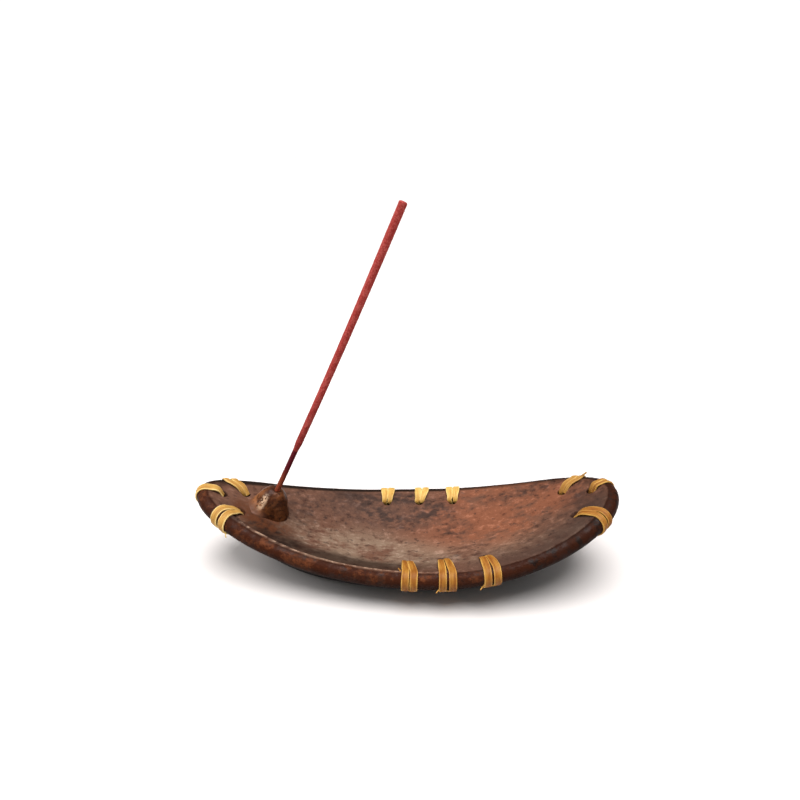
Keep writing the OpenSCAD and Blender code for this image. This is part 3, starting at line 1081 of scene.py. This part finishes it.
def rattanSkin():
    # the grain attribute is across the strip (-1 to 1), along it in metres, and a number for each strip
    material, shader, w = startMaterial("rattanSkin")
    c = rattanColours
    grain = stored(w, "grain", "Vector")
    place = objectPlace(w)
    across, _, _ = parts(grain)
    fibre = stretchedNoise(grain, (4.5, 120.0, 7.0), 3.0, 21.0, 0.65)
    tone = stretchedNoise(grain, (0.8, 110.0, 7.0), 3.0, 22.0, 0.6)

    # palest along the back, and half pale at the left end in front
    x, y, _ = parts(place)
    back = ease(y, 0.0, 18 * mm)
    paleBack = back * (1.0 - 0.6 * ease(size(x), 60 * mm, 75 * mm))
    paleLeft = (1.0 - back) * ease(0.0 - x, 60 * mm, 76 * mm) * 0.5
    warm = blend(c["warm"], c["warmDark"], ease(tone, 0.36, 0.62))
    light = blend(c["pale"], c["paleDark"], ease(tone, 0.4, 0.65))
    base = blend(warm, light, paleBack + paleLeft)

    # darker grooves and fibres, and paler edges
    groove = ease(cosine(across * (6 * math.pi)), 0.55, 0.95) * (1.0 - ease(size(across), 0.7, 0.8))
    base = tinted(base, c["groove"], groove * 0.6)
    base = tinted(base, c["fibre"], ease(fibre, 0.55, 0.68) * 0.8)
    edge = ease(size(across), 0.68, 0.84) * (1.0 - 0.7 * back) + (1.0 - ease(fibre, 0.32, 0.44)) * 0.5
    base = tinted(base, c["edge"], smaller(edge, 1.0))
    feed(base, shader, "Base Color")
    feed(0.52 + (fibre - 0.5) * 0.3, shader, "Roughness")
    shader.inputs["Specular IOR Level"].default_value = 0.2
    feed(bumped(fibre - groove * 0.3, 0.15 * mm), shader, "Normal")
    return material


stickColours = colours(
    bamboo=(0.20, 0.040, 0.018),
    dye=(0.085, 0.005, 0.010),
    paleFibre=(0.32, 0.10, 0.04),
    darkFibre=(0.024, 0.004, 0.004),
    paste=(0.27, 0.030, 0.026),
    dust=(0.40, 0.078, 0.066),
    pit=(0.12, 0.015, 0.013),
    foot=(0.68, 0.62, 0.62),
)


def dyedBamboo():
    # bare bamboo at its foot, red dye above
    material, shader, w = startMaterial("dyedBamboo")
    c = stickColours
    grain = stored(w, "grain", "Vector")
    _, along, _ = parts(grain)
    fibre = stretchedNoise(grain, (4.0, 160.0, 1.0), 3.0, 31.0, 0.6)
    dyed = ease(along + (fibre - 0.5) * 8 * mm, 14 * mm, 26 * mm)
    base = blend(c["bamboo"], c["dye"], dyed)
    base = blend(base, c["paleFibre"], ease(fibre, 0.55, 0.70) * (1.0 - dyed) * 0.8)
    base = blend(base, c["darkFibre"], (1.0 - ease(fibre, 0.32, 0.44)) * 0.7)
    feed(base, shader, "Base Color")
    feed(0.6 + (fibre - 0.5) * 0.3, shader, "Roughness")
    shader.inputs["Specular IOR Level"].default_value = 0.08
    feed(bumped(fibre, 0.12 * mm), shader, "Normal")
    return material


def incensePaste():
    material, shader, w = startMaterial("incensePaste")
    c = stickColours
    place = objectPlace(w)
    dust = noiseAt(place, 1600.0, 4.0, 41.0, 0.7)
    cloud = noiseAt(place, 240.0, 3.0, 42.0)
    base = blend(c["paste"], c["dust"], ease(dust + (cloud - 0.5) * 0.4, 0.42, 0.62))
    base = blend(base, c["pit"], (1.0 - ease(dust, 0.28, 0.40)) * 0.8)
    _, along, _ = parts(stored(w, "grain", "Vector"))
    foot = 1.0 - ease(along + (cloud - 0.5) * 20 * mm, 0.0, 34 * mm)
    base = tinted(base, c["foot"], foot)
    feed(base, shader, "Base Color")
    shader.inputs["Roughness"].default_value = 0.9
    shader.inputs["Specular IOR Level"].default_value = 0.05
    feed(bumped(dust, 0.12 * mm), shader, "Normal")
    return material


# ---- studio and pieces

def setStudio():
    world = bpy.data.worlds.new("studio")
    scene.world = world
    world.use_nodes = True
    sky = Wire(world.node_tree)
    _, _, up = parts(sky.node("ShaderNodeTexCoord", None, None, "Generated"))
    low, white = studio["skyAtHorizon"], (1, 1, 1, 1)
    glow = low + (1.0 - low) * ease(up, 0.0, 0.8)
    plain = sky.node("ShaderNodeBackground", None, {"Color": white, "Strength": glow * studio["sky"]})
    seen = sky.node("ShaderNodeBackground", None, {"Color": white, "Strength": studio["backdrop"]})
    camera = sky.node("ShaderNodeLightPath", None, None, "Is Camera Ray")
    both = sky.node("ShaderNodeMixShader", None, {0: camera, 1: plain, 2: seen})
    world.node_tree.links.new(both.socket, world.node_tree.nodes["World Output"].inputs["Surface"])

    sun = bpy.data.lights.new("key", "SUN")
    sun.energy = studio["key"]
    sun.angle = math.radians(studio["keyAngle"])
    key = bpy.data.objects.new("key", sun)
    key.rotation_euler = Vector(studio["keyFrom"]).to_track_quat("Z", "Y").to_euler()
    scene.collection.objects.link(key)

    soft = bpy.data.lights.new("side", "AREA")
    soft.energy = studio["sidePower"]
    soft.size = studio["sideSize"]
    side = bpy.data.objects.new("side", soft)
    side.location = studio["sideFrom"]
    fromAim = Vector(studio["sideFrom"]) - Vector(studio["sideAim"])
    side.rotation_euler = fromAim.to_track_quat("Z", "Y").to_euler()
    scene.collection.objects.link(side)

    far = studio["floorReach"]
    floorMesh = bpy.data.meshes.new("floor")
    corners = [(-far, -far, 0), (far, -far, 0), (far, far, 0), (-far, far, 0)]
    floorMesh.from_pydata(corners, [], [(0, 1, 2, 3)])
    material, shader, _ = startMaterial("paper")
    shader.inputs["Base Color"].default_value = studio["floorColour"]
    shader.inputs["Roughness"].default_value = 0.9
    shader.inputs["Specular IOR Level"].default_value = 0.1
    floorMesh.materials.append(material)
    floor = bpy.data.objects.new("floor", floorMesh)
    scene.collection.objects.link(floor)


def surfaceOf(piece):
    mesh = piece.data
    mesh.calc_loop_triangles()
    triangles = [tuple(t.vertices) for t in mesh.loop_triangles]
    return BVHTree.FromPolygons([v.co for v in mesh.vertices], triangles)


def setPiece(piece, body, slot, *nodes):
    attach(piece, body)
    if nodes:
        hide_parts(*nodes)


# ---- the stick: a dyed bamboo core with incense paste on it

stickShape = {
    "coreRadius": 1.25 * mm,
    "pasteStart": 1.62 * mm,
    "pasteRadius": 1.8 * mm,
    "thickening": 110 * mm,
    "pasteEdge": 0.05 * mm,
    "bare": 24.5 * mm,
    "reach": 146.8 * mm,
    "feather": 5 * mm,
    "bow": 0.8 * mm,
    "straight": 8 * mm,
    "tipRound": 0.7 * mm,
    "boreGap": 0.1 * mm,
    "coreShort": 1.5 * mm,
}
coreShape = {**sweepShape, "Grit depth": 0.05 * mm, "Seed": 51.0}
pasteShape = {
    **sweepShape,
    "Grit depth": 0.16 * mm,
    "Grit scale": 900.0,
    "Seed": 52.0,
    "Sides": 56,
    "Segments": 700,
}
stickSteps, featherSteps = 60, 12


def stickPoint(height):
    reach = coneShape["Height"] + stickShape["reach"]
    bow = stickShape["bow"] * math.sin(math.pi * min(1, max(0, (height - stickShape["straight"]) / reach)))
    return np.array(stickFoot + stickWay * height + stickWay.cross(Vector((0, -1, 0))) * bow)


def stickMesh(name, heights, radii):
    faces = np.tile(np.array(Vector((0, 1, 0))), (len(heights), 1))
    return pathMesh(name, [stickPoint(h) for h in heights], faces, radii, radii)


def pasteRadiusAt(h, start, top):
    # feathered out onto the core at its foot, a little thicker upwards, rounded at its tip
    s = stickShape
    rising = min(1, (h - start) / s["feather"])
    along = min(1, (h - start) / s["thickening"])
    body = s["pasteStart"] + (s["pasteRadius"] - s["pasteStart"]) * along
    foot = s["coreRadius"] + s["pasteEdge"]
    r = foot + (body - foot) * (rising * rising * (3 - 2 * rising))
    tip = max(0.0, (h - (top - s["tipRound"])) / s["tipRound"])
    return r - s["tipRound"] * (1 - math.sqrt(max(1 - tip * tip, 0.0)))


def makeStick(sweep):
    s = stickShape
    bottom = coneShape["Height"] - boreDepth + s["boreGap"]
    top = coneShape["Height"] + s["reach"]
    heights = np.linspace(bottom, top - s["coreShort"], stickSteps)
    core = stickMesh("core", heights, np.full(stickSteps, s["coreRadius"]))
    values = {**coreShape, "Material": dyedBamboo()}
    setPiece(grow("bambooCore", sweep, values, core), "stick", "bamboo", "bamboo_core")

    start = coneShape["Height"] + s["bare"]
    heights = np.concatenate([
        np.linspace(start, start + s["feather"], featherSteps),
        np.linspace(start + s["feather"] + 2 * mm, top - 2 * mm, stickSteps),
        top - s["tipRound"] * (1 - np.sin(np.radians(np.arange(0, 91, 15)))),
    ])
    coat = stickMesh("coat", heights, [pasteRadiusAt(h, start, top) for h in heights])
    values = {**pasteShape, "Material": incensePaste()}
    setPiece(grow("incensePaste", sweep, values, coat), "stick", "incense", "incense_coating")


# ---- build

setCamera()
setStudio()
scene.view_settings.view_transform = "Standard"
print("studio ready")

points = holePoints()
clay = smokedClay()
dish = grow("clayDish", dishTree(clay, points), {**dishShape, **dishLook, "Holes": points, "Clay": clay})
bpy.data.objects.remove(points)
setPiece(dish, "dish", "clay", "dish")
print("dish:", len(dish.data.vertices), "vertices")

rubbedClay = coneClay()
cone = grow("clayCone", coneTree(rubbedClay, dish), {**coneShape, "Dish": dish, "Clay": rubbedClay})
setPiece(cone, "dish", "cone_clay", "stick_cone")
print("cone:", len(cone.data.vertices), "vertices")

rattan = rattanSkin()
sweep = sweepTree(rattan)
clayShape = surfaceOf(dish)
for number, name in enumerate(stitches):
    path, faces, halfWidths = stitchPath(name, clayShape)
    thick = np.full(len(path), strip["thickness"] / 2)
    values = {**stripShape, "Seed": float(number + 1), "Material": rattan}
    piece = grow(name + "_strip", sweep, values, pathMesh(name, path, faces, halfWidths, thick))
    setPiece(piece, "dish", "rattan", name)
for name, end in cutEnds.items():
    path, faces, halfWidths = tailPath(end)
    thick = np.full(tailSteps, strip["tailThickness"] / 2)
    values = {**stripShape, "Seed": end.angle, "Segments": tailSegments, "Material": rattan}
    piece = grow(name, sweep, values, pathMesh(name, path, faces, halfWidths, thick))
    setPiece(piece, "dish", "rattan")
print("stitches:", len(stitches), "and cut ends:", len(cutEnds))

makeStick(sweep)
print("stick ready")
